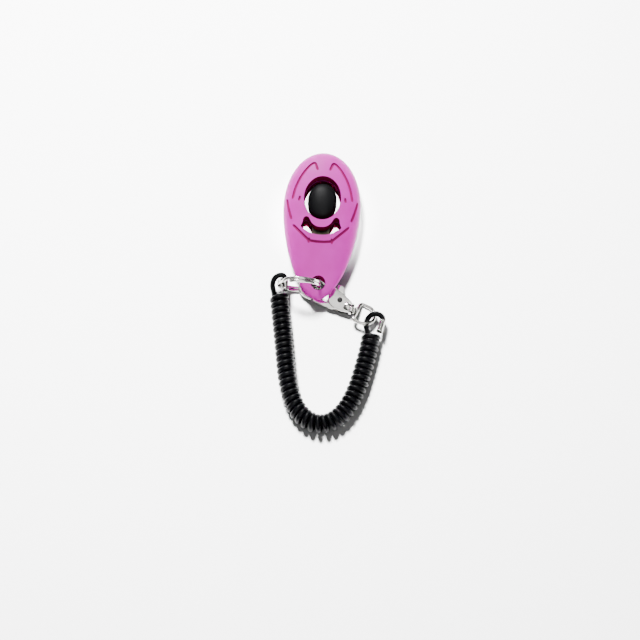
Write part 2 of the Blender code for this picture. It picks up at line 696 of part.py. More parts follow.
def make_swivel_eye(surface, eye):
    """The D-shaped eye with its headed post, which turns in the snap's barrel."""
    far = 5.0
    corner = 1.2
    rim = []
    for i in range(19):
        turn = math.pi / 2 + math.pi * i / 18
        rim.append((-5.65 + far * math.cos(turn), far * math.sin(turn)))
    for sign in (-1, 1):
        for i in range(5):
            turn = math.pi / 8 * i + (-math.pi / 2 if sign < 0 else 0.0)
            rim.append((-3.5 + corner * math.cos(turn), sign * (far - corner) + corner * math.sin(turn)))
    stations = []
    count = len(rim)
    radius = EYE_WIRE / 2
    turns = [2 * math.pi * i / 10 for i in range(10)]
    section = [(radius * math.cos(turn), radius * math.sin(turn)) for turn in turns]
    for i, (x, y) in enumerate(rim):
        along = (Vector(rim[(i + 1) % count]) - Vector(rim[i - 1])).normalized()
        side = Vector((-along.y, along.x, 0))
        stations.append((Vector((x, y, 0)) * MM, side, Vector((0, 0, 1))))
    made = new_object("swivel_eye", swept("swivel_eye", stations, section, closed=True), surface, eye)
    post = [(0.8, -1.9), (1.7, -0.9), (1.7, -0.45), (0.9, -0.4), (0.9, 1.95), (1.35, 2.0), (1.35, 2.7),
            (0.8, 3.0)]
    post = turned("eye_post", [(r * MM, z * MM) for r, z in post], 20)
    boolean(made, cutter("eye_post", post, eye, lying(BARREL_X)), "UNION")


def empty(name, place, parent=None):
    made = bpy.data.objects.new(name, None)
    bpy.context.scene.collection.objects.link(made)
    made.parent = parent
    made.matrix_basis = place
    made.empty_display_size = 5 * MM
    return made


def main():
    clear_scene()
    materials = make_materials()
    button_pivot = empty("button_pivot", at(0, -6 * MM, SPRING_Z))
    ring_pivot = empty("ring_pivot", at(*RING_CENTRE) @ Matrix.Rotation(math.pi / 2 + RING_LEAN, 4, "X"))
    snap = empty("snap_frame", at(*SNAP_PLACE) @ Matrix.Rotation(SNAP_HEADING, 4, "Z"))
    gate_pivot = empty("gate_pivot", at(*GATE_PIVOT), snap)
    eye = empty("eye_frame", Matrix.Rotation(EYE_TILT, 4, "X"), snap)
    bpy.context.view_layer.update()
    make_casing(materials["pink_plastic"])
    rivet_hole = make_button(materials, button_pivot)
    make_click_spring(materials, rivet_hole)
    make_screws(materials["zinc_screw"])
    make_key_ring(materials["nickel_steel"], ring_pivot)
    make_cord(materials["cord_black"])
    make_crimp("crimp_left", materials["nickel_steel"], (-14.5, -25.7, 8.75), (-14.1, -30.7, 8.8))
    make_crimp("crimp_right", materials["nickel_steel"], (29.0, -41.5, 5.6), (27.8, -46.9, 6.5))
    make_snap_body(materials["nickel_steel"], snap)
    make_gate(materials, snap, gate_pivot)
    make_swivel_eye(materials["nickel_steel"], eye)


main()
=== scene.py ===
"""Looks of the clicker trainer: fine casing, button, click spring, ring, snap and curly cord.

Metres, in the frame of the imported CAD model: the clicker lies on its back, +Y is its head end.
"""

import math

import bmesh
import bpy
from mathutils import Matrix, Vector


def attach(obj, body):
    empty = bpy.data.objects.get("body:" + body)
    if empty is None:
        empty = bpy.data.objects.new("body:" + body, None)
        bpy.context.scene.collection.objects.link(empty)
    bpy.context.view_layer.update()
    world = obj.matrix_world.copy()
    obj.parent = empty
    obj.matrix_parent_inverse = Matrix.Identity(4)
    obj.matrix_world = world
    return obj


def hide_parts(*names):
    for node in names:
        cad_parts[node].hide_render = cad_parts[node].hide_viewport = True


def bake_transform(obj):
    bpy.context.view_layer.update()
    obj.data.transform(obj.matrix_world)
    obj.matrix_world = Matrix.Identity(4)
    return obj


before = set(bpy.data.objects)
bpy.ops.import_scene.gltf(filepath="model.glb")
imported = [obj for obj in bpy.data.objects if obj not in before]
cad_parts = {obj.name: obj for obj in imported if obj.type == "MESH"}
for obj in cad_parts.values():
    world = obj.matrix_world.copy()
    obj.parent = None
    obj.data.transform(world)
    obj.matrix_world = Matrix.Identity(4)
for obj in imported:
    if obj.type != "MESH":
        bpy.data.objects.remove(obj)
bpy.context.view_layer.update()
MM = 0.001

# ---------------------------------------------------------------- sizes shared with the CAD model

BODY_HALF_WIDTH = 17 * MM
BODY_HALF_LENGTH = 34 * MM
WIDEST_Y = 8 * MM
BODY_HEIGHT = 14 * MM
PARTING_Z = 7.6 * MM
PARTING_GAP = 0.3 * MM
WALL = 1.7 * MM
TAIL_TOP = 10.8 * MM
TAIL_BOTTOM = 5.1 * MM
TAIL_SOLID_Y = -17 * MM
THUMB_HOLE = (8.05 * MM, 10 * MM, 11.2 * MM)      # half width, half length, y
TAIL_HOLE_Y = -26.9 * MM
TAIL_HOLE_RADIUS = 3.2 * MM
GROOVE_WIDTH = 1.2 * MM
GROOVE_DEPTH = 0.7 * MM
HOLE_WALL = 1.4 * MM          # thickness of the wall round the thumb hole
SLOT_WALL = 1.3 * MM
BOSS_RADIUS = 2.7 * MM
PILOT_RADIUS = 1.25 * MM
RECESS_RADIUS = 2.3 * MM
CUT_LOW = -MM                 # an upright cutter runs past the casing both ways
CUT_HIGH = 16 * MM
SPRING_Z = 6.4 * MM
SPRING_THICKNESS = 0.5 * MM
SPRING_WIDTH = 8 * MM
BUTTON_Y = 10.8 * MM
BUTTON_HALF_WIDTH = 6.3 * MM
BUTTON_HALF_LENGTH = 8.3 * MM
BUTTON_SHOULDER = 9.4 * MM
BUTTON_TOP = 13.5 * MM
SCREWS = {
    "left_screw": (-12.5 * MM, 9 * MM),
    "right_screw": (12.5 * MM, 9 * MM),
    "spring_screw": (0.0, -11.9 * MM),
}
RING_IN = 8.2 * MM
RING_OUT = 9.5 * MM
RING_WIRE = 1.14 * MM
RING_CENTRE = Matrix.Translation((-8.2 * MM, -28.1 * MM, 9.8 * MM))
RING_UPRIGHT = math.radians(93)      # it stands on edge and leans 3 degrees
RING_PLACE = RING_CENTRE @ Matrix.Rotation(RING_UPRIGHT, 4, "X")
SNAP_CENTRE = Matrix.Translation((15.4 * MM, -36.1 * MM, 2.95 * MM))
SNAP_HEADING = math.radians(158)
SNAP_PLACE = SNAP_CENTRE @ Matrix.Rotation(SNAP_HEADING, 4, "Z")
EYE_TILT = math.radians(22)
EYE_PLACE = SNAP_PLACE @ Matrix.Rotation(EYE_TILT, 4, "X")
BARREL_X = -0.6 * MM
EYE_WIRE = 1.6 * MM
GATE_PIVOT = (6.4 * MM, -1.2 * MM)
PIN_HOLE_RADIUS = 0.85 * MM
CORD = 2.4 * MM
COIL_DIAMETER = 8.6 * MM
COIL_Z = 4.4 * MM
COIL_PITCH = 2.68 * MM
CRIMP_RADIUS = 1.5 * MM

# ---------------------------------------------------------------- camera, floor and light

PIXEL = 0.436 * MM            # size of one picture element at the object
TARGET = Vector((1.7 * MM, -43 * MM, 7 * MM))
ELEVATION = math.radians(73)
ROLL = math.radians(3)
DISTANCE = 1.25
LIT_SPOT = Vector((0, -0.03, 0))         # what the area lights face


def make_camera():
    data = bpy.data.cameras.new("camera")
    data.sensor_width = 36
    data.lens = 36 * DISTANCE / (640 * PIXEL)
    data.clip_start = 0.05
    camera = bpy.data.objects.new("camera", data)
    bpy.context.scene.collection.objects.link(camera)
    away = Vector((0, -math.cos(ELEVATION), math.sin(ELEVATION)))
    facing = away.to_track_quat("Z", "Y").to_matrix().to_4x4()
    place = Matrix.Translation(TARGET + away * DISTANCE)
    camera.matrix_world = place @ facing @ Matrix.Rotation(ROLL, 4, "Z")
    bpy.context.scene.camera = camera


def add_light(name, data, place, faces):
    made = bpy.data.objects.new(name, data)
    bpy.context.scene.collection.objects.link(made)
    turn = (Vector(place) - faces).to_track_quat("Z", "Y").to_matrix().to_4x4()
    made.matrix_world = Matrix.Translation(place) @ turn
    return made


def area_light(name, place, size, power):
    data = bpy.data.lights.new(name, "AREA")
    data.shape = "RECTANGLE"
    data.size = size
    data.size_y = size
    data.energy = power
    return add_light(name, data, place, LIT_SPOT)


def narrow_light(name, place, faces, spread, power):
    data = bpy.data.lights.new(name, "SPOT")
    data.energy = power
    data.spot_size = spread
    data.spot_blend = 0.2
    data.shadow_soft_size = 0.01
    return add_light(name, data, place, faces)


def make_studio():
    """A graded surround, a key light beyond the head end and a fill. Returns the two lights of the table."""
    world = bpy.data.worlds.new("studio")
    bpy.context.scene.world = world
    world.use_nodes = True
    nodes = world.node_tree.nodes
    links = world.node_tree.links
    ground = nodes["Background"]
    where = nodes.new("ShaderNodeTexCoord")
    split = nodes.new("ShaderNodeSeparateXYZ")
    ramp = nodes.new("ShaderNodeValToRGB")
    links.new(where.outputs["Generated"], split.inputs[0])
    links.new(split.outputs["Z"], ramp.inputs["Fac"])
    links.new(ramp.outputs["Color"], ground.inputs["Color"])
    stops = ramp.color_ramp.elements
    stops[0].position = 0.0
    stops[0].color = (0.4, 0.4, 0.4, 1)
    stops[1].position = 1.0
    stops[1].color = (3.0, 3.0, 3.0, 1)
    bands = ((0.05, 0.4), (0.09, 0.02), (0.46, 0.02), (0.56, 0.45), (0.86, 0.35), (0.92, 2.6))
    for spot, grey in bands:
        stop = stops.new(spot)
        stop.color = (grey, grey, grey, 1)
    ground.inputs["Strength"].default_value = 0.85
    area_light("key", (-0.16, 0.62, 0.52), 0.18, 15)
    area_light("fill", (0.10, -0.45, 0.5), 0.4, 1.5)
    button_foot = Vector((0, 0.006, 0))
    narrow = narrow_light("through_the_holes", (0, -0.17, 0.6), button_foot, math.radians(3.4), 780)
    return [area_light("table", (-0.16, 0.31, 0.66), 0.13, 350), narrow]


def make_floor(table_lights):
    """A pale sheet. The table's lights shine on it alone, which whitens it and keeps the shadows dark."""
    floor = bpy.data.meshes.new("floor")
    half = 3.0
    corners = [(-half, -half, 0), (half, -half, 0), (half, half, 0), (-half, half, 0)]
    floor.from_pydata(corners, [], [(0, 1, 2, 3)])
    piece = bpy.data.objects.new("floor", floor)
    bpy.context.scene.collection.objects.link(piece)
    paper, shader = principled("paper", (0.13, 0.13, 0.13), 0.9)
    floor.materials.append(paper)
    table_only = bpy.data.collections.new("lit_by_the_table_lights")
    table_only.objects.link(piece)
    for light in table_lights:
        light.light_linking.receiver_collection = table_only


# ---------------------------------------------------------------- materials

def principled(name, colour, roughness, metallic=0.0):
    made = bpy.data.materials.new(name)
    made.use_nodes = True
    shader = made.node_tree.nodes["Principled BSDF"]
    shader.inputs["Base Color"].default_value = (*colour, 1)
    shader.inputs["Roughness"].default_value = roughness
    shader.inputs["Metallic"].default_value = metallic
    return made, shader


def noise(made, scale, detail=3.0, stretch=(1, 1, 1)):
    """A noise texture fixed to the object's own space."""
    nodes = made.node_tree.nodes
    links = made.node_tree.links
    where = nodes.new("ShaderNodeTexCoord")
    mapping = nodes.new("ShaderNodeMapping")
    mapping.inputs["Scale"].default_value = stretch
    texture = nodes.new("ShaderNodeTexNoise")
    texture.inputs["Scale"].default_value = scale
    texture.inputs["Detail"].default_value = detail
    links.new(where.outputs["Object"], mapping.inputs["Vector"])
    links.new(mapping.outputs["Vector"], texture.inputs["Vector"])
    return texture.outputs["Fac"]


def ranged(made, source, low, high):
    """The source, 0.3 to 0.7, spread over low to high."""
    node = made.node_tree.nodes.new("ShaderNodeMapRange")
    node.inputs["From Min"].default_value = 0.3
    node.inputs["From Max"].default_value = 0.7
    node.inputs["To Min"].default_value = low
    node.inputs["To Max"].default_value = high
    made.node_tree.links.new(source, node.inputs["Value"])
    return node.outputs["Result"]


def tint(made, shader, source, dark, light):
    node = made.node_tree.nodes.new("ShaderNodeMix")
    node.data_type = "RGBA"
    node.inputs["A"].default_value = (*dark, 1)
    node.inputs["B"].default_value = (*light, 1)
    made.node_tree.links.new(ranged(made, source, 0, 1), node.inputs["Factor"])
    made.node_tree.links.new(node.outputs["Result"], shader.inputs["Base Color"])


def bump(made, shader, source, distance, strength=1.0):
    node = made.node_tree.nodes.new("ShaderNodeBump")
    node.inputs["Strength"].default_value = strength
    node.inputs["Distance"].default_value = distance
    made.node_tree.links.new(source, node.inputs["Height"])
    made.node_tree.links.new(node.outputs["Normal"], shader.inputs["Normal"])


def moulded_plastic(name, dark, light, roughness, grain=0.02 * MM, gloss=0.35):
    """Fine spark-eroded texture with slow colour drift and patches worn smoother by hands."""
    made, shader = principled(name, light, roughness)
    shader.inputs["Specular IOR Level"].default_value = gloss
    tint(made, shader, noise(made, 90, 2), dark, light)
    worn = ranged(made, noise(made, 160, 4), roughness - 0.05, roughness + 0.07)
    made.node_tree.links.new(worn, shader.inputs["Roughness"])
    bump(made, shader, noise(made, 4200, 2), grain, 0.5)
    return made


def polished_metal(name, dark, light, low, high, stretch=(1, 1, 1)):
    """Plated metal: smooth, with faint drawn scratches and a little dulling."""
    made, shader = principled(name, light, low, 1.0)
    tint(made, shader, noise(made, 260, 3), dark, light)
    dulled = ranged(made, noise(made, 700, 5, stretch), low, high)
    made.node_tree.links.new(dulled, shader.inputs["Roughness"])
    bump(made, shader, noise(made, 900, 3, stretch), 0.003 * MM, 0.2)
    return made


def make_materials():
    return {
        "casing": moulded_plastic("pink_plastic", (0.50, 0.010, 0.34), (0.58, 0.016, 0.42), 0.48, gloss=0.18),
        # painted shade: this dark maroon stands in for the shade on the walls of the openings, in the tail
        # hole and on the shells' insides
        "inside": moulded_plastic("pink_plastic_painted_shade", (0.13, 0.001, 0.025), (0.17, 0.002, 0.035), 0.7,
                                  gloss=0.0),
        # painted shade: this darker pink stands in for the shade down in the engraved grooves
        "groove": moulded_plastic("pink_plastic_painted_groove_shade", (0.25, 0.004, 0.10), (0.31, 0.006, 0.13), 0.6,
                                  gloss=0.1),
        "button": moulded_plastic("black_rubber", (0.003, 0.003, 0.0035), (0.006, 0.006, 0.007), 0.5,
                                  0.035 * MM, 0.11),
        "nickel": polished_metal("bright_nickel", (0.50, 0.49, 0.47), (0.60, 0.59, 0.56), 0.07, 0.15),
        "screws": polished_metal("zinc_plate", (0.45, 0.45, 0.44), (0.60, 0.60, 0.58), 0.28, 0.45),
        "pin": polished_metal("dark_steel", (0.02, 0.02, 0.02), (0.04, 0.04, 0.04), 0.4, 0.5),
        "spring": polished_metal("spring_steel", (0.14, 0.13, 0.09), (0.22, 0.20, 0.15), 0.25, 0.42,
                                 (1, 0.05, 1)),
        "cord": moulded_plastic("cord_black", (0.001, 0.001, 0.0015), (0.002, 0.002, 0.003), 0.30,
                                0.004 * MM, 0.09),
    }


# ---------------------------------------------------------------- mesh helpers

def add_piece(name, data, surface, body=None, replaces=(), place=None):
    """Links a visible piece, gives it its material and slot, and rides it on its body."""
    piece = bpy.data.objects.new(name, data)
    bpy.context.scene.collection.objects.link(piece)
    if place is not None:
        piece.matrix_world = place
    if not piece.data.materials:
        piece.data.materials.append(surface)
    if body:
        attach(piece, body)
    if replaces:
        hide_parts(*replaces)
    return piece


def helper(name, data, place=None):
    """A cutter, which is taken away again once it has been used."""
    made = bpy.data.objects.new(name, data)
    bpy.context.scene.collection.objects.link(made)
    if place is not None:
        made.matrix_world = place
    return made


def mesh_of(name, shape, sharp=35):
    bmesh.ops.recalc_face_normals(shape, faces=shape.faces)
    made = bpy.data.meshes.new(name)
    shape.to_mesh(made)
    shape.free()
    made.shade_smooth()
    made.set_sharp_from_angle(angle=math.radians(sharp))
    return made


def skin(shape, rings, closed=False):
    loops = [[shape.verts.new(point) for point in ring] for ring in rings]
    count = len(loops[0])
    pairs = list(zip(loops, loops[1:]))
    if closed:
        pairs.append((loops[-1], loops[0]))
    for low, high in pairs:
        for i in range(count):
            j = (i + 1) % count
            shape.faces.new((low[i], low[j], high[j], high[i]))
    if not closed:
        shape.faces.new(loops[0])
        shape.faces.new(loops[-1])


def prism(name, outline, low, high):
    shape = bmesh.new()
    skin(shape, [[(x, y, z) for x, y in outline] for z in (low, high)])
    return mesh_of(name, shape)


def flared_prism(name, outline_at, levels):
    """An upright cutter whose outline grows with the given amounts at the given heights."""
    shape = bmesh.new()
    skin(shape, [[(x, y, z) for x, y in outline_at(grow)] for z, grow in levels])
    return mesh_of(name, shape)


def turned(name, profile, sides=48, sharp=35):
    shape = bmesh.new()
    turns = [2 * math.pi * (i + 0.5) / sides for i in range(sides)]
    skin(shape, [[(r * math.cos(t), r * math.sin(t), z) for t in turns] for r, z in profile])
    return mesh_of(name, shape, sharp)


def swept(name, route, section, closed=False, sharp=35):
    shape = bmesh.new()
    rings = [[Vector(centre) + side * s + up * u for s, u in section] for centre, side, up in route]
    skin(shape, rings, closed)
    return mesh_of(name, shape, sharp)


def ellipse(half_x, half_y, centre_y=0.0, sides=96, power=2.0):
    points = []
    for i in range(sides):
        turn = 2 * math.pi * (i + 0.5) / sides
        c = math.cos(turn)
        s = math.sin(turn)
        points.append((half_x * math.copysign(abs(c) ** (2 / power), c),
                       centre_y + half_y * math.copysign(abs(s) ** (2 / power), s)))
    return points


def between(a, b, c, d, t):
    """A point of the smooth curve from b to c, a and d being the points before and after."""
    start = (2 * b) + (c - a) * t + (2 * a - 5 * b + 4 * c - d) * t * t
    return 0.5 * (start + (3 * b - a - 3 * c + d) * t ** 3)


def spline_through(points, step):
    """A smooth open curve through the points, in pieces of about the given step."""
    ends = [2 * points[0] - points[1], *points, 2 * points[-1] - points[-2]]
    found = []
    for a, b, c, d in zip(ends, ends[1:], ends[2:], ends[3:]):
        pieces = max(1, round((c - b).length / step))
        for i in range(pieces):
            found.append(between(a, b, c, d, i / pieces))
    found.append(points[-1])
    return found


def boolean(target, cutters, operation="DIFFERENCE"):
    """Applies each cutter to the target's mesh in turn, keeping the cutter's material on the cut."""
    for cutter in cutters:
        step = target.modifiers.new("cut", "BOOLEAN")
        step.operation = operation
        step.object = cutter
        step.material_mode = "TRANSFER"
    bpy.context.view_layer.update()
    graph = bpy.context.evaluated_depsgraph_get()
    result = bpy.data.meshes.new_from_object(target.evaluated_get(graph))
    target.modifiers.clear()
    target.data = result
    for cutter in cutters:
        bpy.data.objects.remove(cutter)


def soften(piece, width, segments=3, angle=40):
    """A rounded edge along every corner of the piece."""
    step = piece.modifiers.new("edge", "BEVEL")
    step.width = width
    step.segments = segments
    step.limit_method = "ANGLE"
    step.angle_limit = math.radians(angle)
    step.harden_normals = True
    step.miter_outer = "MITER_ARC"


# ---------------------------------------------------------------- casing

def smoothstep(t):
    t = min(1.0, max(0.0, t))
    return t * t * (3 - 2 * t)


def half_width(y):
    if y >= WIDEST_Y:
        t = min(1.0, (y - WIDEST_Y) / (BODY_HALF_LENGTH - WIDEST_Y))
        return BODY_HALF_WIDTH * (1 - t ** 2.1) ** 0.5
    t = min(1.0, (WIDEST_Y - y) / (WIDEST_Y + BODY_HALF_LENGTH))
    return BODY_HALF_WIDTH * (1 - t ** 1.7) ** 0.56


def casing_outline(inset=0.0, lowest_y=-1.0, sides=160):
    right = []
    steps = sides // 4
    for span, sign in ((BODY_HALF_LENGTH - WIDEST_Y, 1), (BODY_HALF_LENGTH + WIDEST_Y, -1)):
        for i in range(steps + 1):
            turn = math.pi / 2 * i / steps
            rise = math.cos(turn) if sign > 0 else math.sin(turn)
            y = WIDEST_Y + sign * span * rise
            right.append((half_width(y), y))
    right.pop(steps)
    outline = []
    for x, y in right + [(-x, y) for x, y in reversed(right[1:-1])]:
        away = Vector((x, y - WIDEST_Y))
        away *= 1 - inset / away.length
        outline.append((away.x, max(away.y + WIDEST_Y, lowest_y)))
    return outline


def dome(share):
    return (1 - share ** 3) ** (1 / 2.2)


def upper_height(y):
    fall = smoothstep((-2 * MM - y) / (26 * MM))
    return BODY_HEIGHT - PARTING_Z - (BODY_HEIGHT - TAIL_TOP) * fall


def lower_height(y):
    fall = smoothstep((-9 * MM - y) / (18 * MM))
    return PARTING_Z - TAIL_BOTTOM * fall


def casing_top(x, y):
    """Height of the casing's upper surface over a point in plan."""
    away = Vector((x, y - WIDEST_Y))
    low, high = 1e-3, 1.2
    for _ in range(30):
        share = (low + high) / 2
        edge = away / share
        y_edge = edge.y + WIDEST_Y
        if abs(y_edge) < BODY_HALF_LENGTH and abs(edge.x) <= half_width(y_edge):
            high = share
        else:
            low = share
    return PARTING_Z + upper_height(y) * dome(min(1.0, high))


def half_casing(name, upper, surface, inset=0.0, lowest_y=-1.0):
    shape = bmesh.new()
    outline = casing_outline(inset, lowest_y)
    side = 1 if upper else -1
    start = side * (PARTING_GAP / 2 if inset == 0 else -PARTING_GAP)
    rings = [[(x, y, PARTING_Z + start) for x, y in outline]]
    for i in range(1, 22):
        share = math.cos(math.pi / 2 * i / 23) ** 0.62
        ring = []
        for x, y in outline:
            y_here = WIDEST_Y + (y - WIDEST_Y) * share
            if upper:
                rise = upper_height(y_here) * dome(share)
            else:
                rise = lower_height(y_here) * min(1.0, 1.12 * dome(share))
            rise = max(rise - inset, abs(start))
            ring.append((x * share, y_here, PARTING_Z + side * rise))
        rings.append(ring)
    skin(shape, rings)
    made = mesh_of(name, shape, 50)
    made.materials.append(surface)
    return made


def slot_outline(grow=0.0):
    """The smile-shaped slot as a smooth closed curve, widened by grow."""
    right = [(0, -2.5), (2.1, -2.2), (3.9, -1.0), (5.0, 0.7), (5.6, 1.7), (6.6, 2.15), (7.5, 1.8)]
    right += [(8.0, 0.9), (8.1, -0.1), (8.5, -1.3), (8.9, -2.3), (8.2, -3.1), (6.8, -4.1), (5.0, -5.1)]
    right += [(2.8, -5.8), (0, -6.1)]
    right = [Vector(point) * MM for point in right]
    left = [Vector((-p.x, p.y)) for p in reversed(right[1:-1])]
    ring = right + left
    count = len(ring)
    smooth = []
    for i in range(count):
        a, b, c, d = (ring[(i + k) % count] for k in (-1, 0, 1, 2))
        for t in (0, 0.25, 0.5, 0.75):
            smooth.append(between(a, b, c, d, t))
    count = len(smooth)
    grown = []
    for i, point in enumerate(smooth):
        along = (smooth[(i + 1) % count] - smooth[i - 1]).normalized()
        grown.append(tuple(point + Vector((-along.y, along.x)) * grow))
    return grown


def groove_routes():
    """Plan routes of the engraved lines, in metres, each mirrored to both sides."""
    brow = [(2.7, 24.1), (3.3, 26.0), (4.2, 27.7), (5.9, 26.7), (8.3, 23.6), (10.4, 19.9)]
    brow += [(12.1, 15.4), (13.2, 10.3)]
    flank = [(15.6, 10.6), (14.9, 7.2), (14.0, 3.8), (13.1, 1.0)]
    mark = [(9.9, 11.6), (10.3, 9.4)]
    knot = [(4.7, -7.5), (5.2, -8.6), (5.0, -9.8)]
    routes = []
    for half in (brow, flank, mark, knot):
        for side in (1, -1):
            routes.append([Vector((side * x, y)) * MM for x, y in half])
    jaw = [(12.3, -1.6), (9.6, -4.4), (6.4, -7.4), (5.0, -8.6), (3.5, -8.9), (1.8, -9.1), (0, -9.15)]
    jaw += [(-x, y) for x, y in reversed(jaw[:-1])]
    routes.append([Vector(point) * MM for point in jaw])
    return routes


def groove_cutter(name, route, surface):
    """A ribbon along the upper surface with rounded floor and section square to the surface."""
    points = spline_through(route, 0.5 * MM)
    reach = 0.2 * MM
    last = len(points) - 1
    shape = bmesh.new()
    rings = []
    for i, point in enumerate(points):
        along = (points[min(i + 1, last)] - points[max(i - 1, 0)]).normalized()
        out = Vector((-along.y, along.x)) * reach
        x, y = point
        rise = casing_top(x + out.x, y + out.y) - casing_top(x - out.x, y - out.y)
        side = Vector((out.x * 2, out.y * 2, rise)).normalized()
        up = Vector((along.x, along.y, 0)).cross(side).normalized()
        fade = min(1.0, 0.6 + 0.2 * min(i, last - i))
        half = GROOVE_WIDTH / 2 * fade
        depth = GROOVE_DEPTH * (0.4 + 0.6 * fade)
        section = [(-1.3 * half, 0.4 * MM), (-half, 0), (-0.75 * half, -0.8 * depth), (0, -depth),
                   (0.75 * half, -0.8 * depth), (half, 0), (1.3 * half, 0.4 * MM)]
        spot = Vector((x, y, casing_top(x, y)))
        rings.append([spot + side * s + up * u for s, u in section])
    skin(shape, rings)
    made = mesh_of(name, shape)
    made.materials.append(surface)
    return helper(name, made)


def hole_outline(grow=0.0):
    """The thumb hole's oval, widened by grow."""
    return ellipse(THUMB_HOLE[0] + grow, THUMB_HOLE[1] + grow, THUMB_HOLE[2])


def with_surface(data, surface):
    data.materials.append(surface)
    return data


def upright(name, radius, low, high, surface, place, sides=48):
    """A round cutter standing over a place in plan."""
    data = with_surface(turned(name, [(radius, low), (radius, high)], sides), surface)
    return helper(name, data, Matrix.Translation((*place, 0)))


def block(name, half, y_low, y_high, low, high, surface):
    """A box-shaped cutter across the middle of the casing."""
    outline = [(-half, y_low), (half, y_low), (half, y_high), (-half, y_high)]
    return helper(name, with_surface(prism(name, outline, low, high), surface))


def make_hollow(upper, shade):
    """The room inside a shell, less the walls round its openings and the screws' bosses."""
    hollow = helper("hollow", half_casing("hollow", upper, shade, WALL, TAIL_SOLID_Y))
    high = CUT_HIGH - MM
    keep = [helper("hole_wall", prism("hole_wall", hole_outline(HOLE_WALL), CUT_LOW, high)),
            helper("slot_wall", prism("slot_wall", slot_outline(SLOT_WALL), CUT_LOW, high))]
    for x, y in SCREWS.values():
        boss = turned("boss", [(BOSS_RADIUS, CUT_LOW), (BOSS_RADIUS, high)])
        keep.append(helper("boss", boss, Matrix.Translation((x, y, 0))))
    boolean(hollow, keep)
    return hollow


def thumb_cutter(upper, shade):
    """The thumb hole, flared where it meets the outside."""
    rim = BODY_HEIGHT if upper else 0.0
    out = 1 if upper else -1
    levels = [(rim + out * 1.2 * MM, MM), (rim - out * 0.55 * MM, 0.0), (PARTING_Z - out * 2 * MM, 0.0)]
    return helper("thumb", with_surface(flared_prism("thumb", hole_outline, sorted(levels)), shade))


def make_shell(upper, looks):
    """One shell, hollow, with walls round every opening and its edges rounded."""
    pink = looks["casing"]
    # the walls of the openings, the tail hole and the insides take the painted shade material
    shade = looks["inside"]
    name = "front_casing" if upper else "rear_casing"
    node = "front_shell" if upper else "rear_shell"
    body = add_piece(name, half_casing(name, upper, pink), pink, "clicker", [node])
    cuts = [make_hollow(upper, shade), thumb_cutter(upper, shade),
            helper("slot", with_surface(prism("slot", slot_outline(), CUT_LOW, CUT_HIGH), shade)),
            upright("tail", TAIL_HOLE_RADIUS, CUT_LOW, CUT_HIGH, shade, (0, TAIL_HOLE_Y), 64),
            block("channel", SPRING_WIDTH / 2 + 0.6 * MM, -15.8 * MM, 4 * MM, SPRING_Z - 0.55 * MM,
                  SPRING_Z + 2.3 * MM, shade)]
    for place in SCREWS.values():
        cuts.append(upright("pilot", PILOT_RADIUS, CUT_LOW, 11.6 * MM, shade, place))
    if upper:
        # the grooves' walls take the painted groove shade material
        for i, route in enumerate(groove_routes()):
            cuts.append(groove_cutter(f"groove_{i}", route, looks["groove"]))
    else:
        cuts.append(block("room", SPRING_WIDTH / 2 + 0.4 * MM, -8.2 * MM, 3.5 * MM, SPRING_Z - 3 * MM,
                          SPRING_Z, shade))
        for place in SCREWS.values():
            cuts.append(upright("recess", RECESS_RADIUS, CUT_LOW, 3.4 * MM, pink, place))
    boolean(body, cuts)
    body.data.shade_smooth()
    body.data.set_sharp_from_angle(angle=math.radians(32))
    soften(body, 0.14 * MM, 2, 32)


# ---------------------------------------------------------------- curly cord

COIL_ROUTE = [
    (-16.9, -31.2), (-15.9, -38), (-14.5, -47), (-13.3, -55), (-12.1, -63.5), (-10.7, -71.2),
    (-8.7, -78), (-5.7, -83.6), (-1.4, -87.6), (4.0, -89.1), (9.5, -87.4), (13.9, -83.2),
    (17.2, -77.5), (19.5, -71.5), (21.2, -65), (22.7, -58.5), (23.8, -52.5), (24.5, -47.6),
]
LEFT_LOOP = [
    (-19.3, -30.0, 4.9), (-19.8, -28.5, 6.0), (-19.7, -26.9, 7.4), (-19.0, -25.4, 8.4),
    (-17.5, -24.3, 8.9), (-15.8, -24.0, 9.0), (-14.8, -24.7, 8.9), (-14.5, -25.7, 8.75),
    (-14.3, -28.4, 8.77),
]
RIGHT_LOOP = [
    (28.4, -44.4, 6.05), (29.0, -41.5, 5.6), (29.1, -40.6, 5.4), (28.5, -39.4, 5.5), (27.3, -38.6, 5.5),
    (25.7, -38.3, 5.4), (24.1, -38.8, 5.0), (22.7, -40.0, 3.9), (22.0, -41.5, 2.1), (22.0, -43.2, 1.4),
    (22.6, -45.0, 1.4), (23.1, -46.5, 1.5),
]
TURN_POINTS = 16             # points of the cord in one turn of the coil


def coil_frames():
    """Even stations along the coil's middle: place, side and distance."""
    spine = [Vector((x, y, 0)) * MM + Vector((0, 0, COIL_Z)) for x, y in COIL_ROUTE]
    points = spline_through(spine, 0.25 * MM)
    length = 0.0
    frames = []
    for i, point in enumerate(points):
        along = (points[min(i + 1, len(points) - 1)] - points[max(i - 1, 0)]).normalized()
        length += (point - points[i - 1]).length if i else 0.0
        frames.append((length, point, Vector((-along.y, along.x, 0)), along))
    return frames


